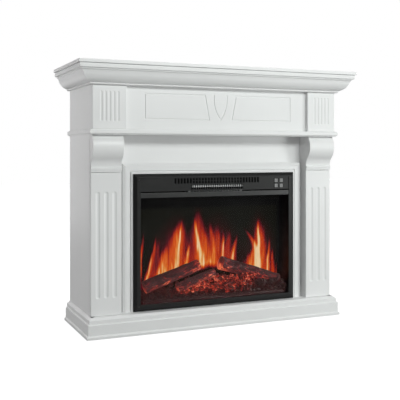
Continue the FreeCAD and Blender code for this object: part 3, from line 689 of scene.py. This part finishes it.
def bezel_screws():
    """One small screw in each corner of the bezel."""
    low, high = BOX["bezel_left"]
    flat = (low.x + 12 * MM + high.x) / 2
    bottom = BOX["bezel_bottom"][1].z - 5.5 * MM
    top = BOX["bezel_top"][0].z - 6 * MM
    heads = [(side * flat, low.y, z) for side in (-1, 1) for z in (bottom, top)]
    screws("bezel_screws", heads, 2.6 * MM, -1, "black_plastic")


def stroke(bm, points, width, front, closed=False):
    """A thin raised line in the X-Z plane through points."""
    count = len(points)
    proud = 0.25 * MM
    rows = []
    for index, (x, z) in enumerate(points):
        before = points[index - 1] if closed or index else points[0]
        after = points[(index + 1) % count] if closed or index < count - 1 else points[-1]
        way = Vector((after[0] - before[0], after[1] - before[1])).normalized()
        out = Vector((-way.y, way.x)) * width / 2
        pair = [(x + out.x, z + out.y), (x - out.x, z - out.y)]
        rows.append([bm.verts.new((u, y, v)) for y in (front - proud, front + proud) for u, v in pair])
    spans = list(zip(rows, rows[1:])) + ([(rows[-1], rows[0])] if closed else [])
    for one, two in spans:
        for i, j in ((0, 1), (1, 3), (3, 2), (2, 0)):
            bm.faces.new((one[i], one[j], two[j], two[i]))
    if not closed:
        for row in (rows[0], rows[-1]):
            bm.faces.new((row[0], row[1], row[3], row[2]))


BUTTONS = ("button_power", "button_flame", "button_heat_low", "button_heat_high")


def button_marks():
    """Plain pictures on the four buttons: on and off, flame, one wave and two waves of heat."""
    width = 0.7 * MM
    for label in BUTTONS:
        low, high = BOX[label]
        middle = (low + high) / 2
        bm = bmesh.new()
        lines = []
        if label == "button_power":
            arc = [math.radians(125 + 290 * i / 20) for i in range(21)]
            lines.append(([(3.1 * math.cos(a), 3.1 * math.sin(a)) for a in arc], False))
            lines.append(([(0, 0.6), (0, 4.0)], False))
        elif label == "button_flame":
            turns = [2 * math.pi * i / 24 for i in range(24)]
            drop = [(2.7 * math.sin(a) * math.sin(a / 2) ** 0.8, 0.4 + 3.6 * math.cos(a)) for a in turns]
            lines.append((drop, True))
        else:
            shifts = (0,) if label == "button_heat_low" else (-1.7, 1.7)
            for shift in shifts:
                wave = [(shift + 0.9 * math.sin(t * 0.75), -3.4 + t * 0.68) for t in range(11)]
                lines.append((wave, False))
        for points, closed in lines:
            placed = [(middle.x + x * MM, middle.z + z * MM) for x, z in points]
            stroke(bm, placed, width, low.y, closed)
        bmesh.ops.recalc_face_normals(bm, faces=bm.faces)
        finish_piece(bm, label + "_mark", [LOOKS["black_plastic"]], body=BODY_OF[label])


def casing_back():
    """Pressed ribs and screws on the rear sheet."""
    low, high = BOX["firebox_back"]
    tall = high.z - low.z
    bm = bmesh.new()
    half, root, crest = 6 * MM, high.y - 0.2 * MM, high.y + 2.2 * MM
    left, right = low.x + 50 * MM, high.x - 140 * MM  # the gland is further right
    for share in (0.2, 0.4, 0.6):
        z = low.z + tall * share
        bar(bm, (left, root, z - half), (right, crest, z + half), 2.1 * MM)
    finish_piece(bm, "casing_ribs", [LOOKS["black_sheet"]])
    inset = 9 * MM
    across = high.x - low.x - 2 * inset
    heads = [(low.x + inset + across * i / 6, high.y, z)
             for i in range(7) for z in (low.z + inset, high.z - inset)]
    heads += [(x, high.y, low.z + tall * i / 4)
              for i in (1, 2, 3) for x in (low.x + inset, high.x - inset)]
    screws("casing_screws", heads, 3.4 * MM, 1, "zinc_steel")


outlet_grille()
slot_filter()
bezel_screws()
button_marks()
casing_back()
for label in BUTTONS + ("cable_gland",):
    softened(label, 0.3 * MM, segments=2)
for label in ("corner_brackets", "firebox_side_left", "firebox_side_right", "firebox_top", "firebox_back"):
    softened(label, 0.35 * MM, segments=1)
pane("flame_screen", "flame_screen_panel", 0.4 * MM)
pane("front_glass", "front_glass_pane", 0.6 * MM)
bark_log("log_left", 1, 3.0, hot_end=0.5, inset=-MM)
bark_log("log_right", -1, 8.0, hot_end=0.4, inset=7 * MM, taper=0.64)
bark_log("log_middle", 1, 14.0, heat=1.7)
bark_log("log_front", 0, 21.0, depth=0.8 * MM, heat=0.35)
coal_bed()

# ---- Studio -----------------------------------------------------------------------


def floor_look():
    """Pale floor: the eye sees it nearly white, and it throws back only part of the light."""
    look = Look("studio_floor")
    look.set(Base_Color=look.mix(look.noise(0.7), grey(0.35), grey(0.39)), Roughness=0.9)
    seen = look.node("BsdfDiffuse", {"Color": grey(0.3)})
    glow = look.node("Emission", {"Color": grey(1.0), "Strength": 0.97})
    pale = look.node("AddShader", {0: seen.outputs[0], 1: glow.outputs[0]})
    eye = look.node("LightPath").outputs["Is Camera Ray"]
    both = look.node("MixShader", {0: eye, 1: look.shader.outputs[0], 2: pale.outputs[0]})
    look.links.new(both.outputs[0], look.nodes["Material Output"].inputs["Surface"])
    return look.material


def studio():
    """A plain pale floor, in a room that the eye sees as white but that lights the object only a little."""
    floor_mesh = bpy.data.meshes.new("studio_floor")
    reach = 12.0
    floor_mesh.from_pydata([(-reach, -reach, 0), (reach, -reach, 0), (reach, reach, 0), (-reach, reach, 0)],
                           [], [(0, 1, 2, 3)])
    floor_mesh.materials.append(floor_look())
    floor = bpy.data.objects.new("studio_floor", floor_mesh)
    bpy.context.scene.collection.objects.link(floor)

    world = bpy.data.worlds.new("studio_room")
    bpy.context.scene.world = world
    world.use_nodes = True
    nodes, links = world.node_tree.nodes, world.node_tree.links
    background = nodes["Background"]
    background.inputs["Color"].default_value = grey(1.0)
    background.inputs["Strength"].default_value = 0.12
    seen = nodes.new("ShaderNodeBackground")
    seen.inputs["Color"].default_value = grey(1.0)
    seen.inputs["Strength"].default_value = 1.0
    path = nodes.new("ShaderNodeLightPath")
    mix = nodes.new("ShaderNodeMixShader")
    links.new(path.outputs["Is Camera Ray"], mix.inputs[0])
    links.new(background.outputs[0], mix.inputs[1])
    links.new(seen.outputs[0], mix.inputs[2])
    links.new(mix.outputs[0], nodes["World Output"].inputs["Surface"])


def softbox(name, place, target, width, height, power, colour=(1.0, 1.0, 1.0)):
    """An area light that faces a point."""
    lamp = bpy.data.lights.new(name, "AREA")
    lamp.shape = "RECTANGLE"
    lamp.size, lamp.size_y = width, height
    lamp.energy = power
    lamp.color = colour[:3]
    holder = bpy.data.objects.new(name, lamp)
    holder.location = place
    holder.rotation_euler = (Vector(target) - Vector(place)).to_track_quat("-Z", "Y").to_euler()
    bpy.context.scene.collection.objects.link(holder)


def camera():
    """The view that the photograph was taken from: level, 23 degrees round to the left."""
    lens = bpy.data.cameras.new("camera")
    lens.lens = 65.9
    lens.sensor_width = 36
    lens.shift_y = -0.1206
    lens.clip_start, lens.clip_end = 0.05, 60
    eye = bpy.data.objects.new("camera", lens)
    eye.location = (-1.139, -2.561, 0.641)
    eye.rotation_euler = (math.radians(90), 0, -math.radians(23.42))
    bpy.context.scene.collection.objects.link(eye)
    bpy.context.scene.camera = eye


studio()
softbox("key", (0.7, -2.9, 1.9), (0, 0, 0.5), 1.5, 0.7, 54, tint("fbfffd"))
softbox("overhead", (0.0, -0.2, 3.2), (0, 0, 0.5), 2.0, 1.6, 38)
softbox("low_right", (2.7, -2.6, 0.5), (0, 0, 0.5), 1.0, 0.8, 32, tint("fbfffd"))
softbox("left_fill", (-3.0, 0.6, 0.6), (0, 0, 0.5), 1.4, 0.8, 24)
softbox("left_back", (-0.85, 2.6, 1.0), (-0.48, 0.1, 0.6), 0.5, 1.9, 7)
camera()
bpy.context.scene.view_settings.view_transform = "Standard"
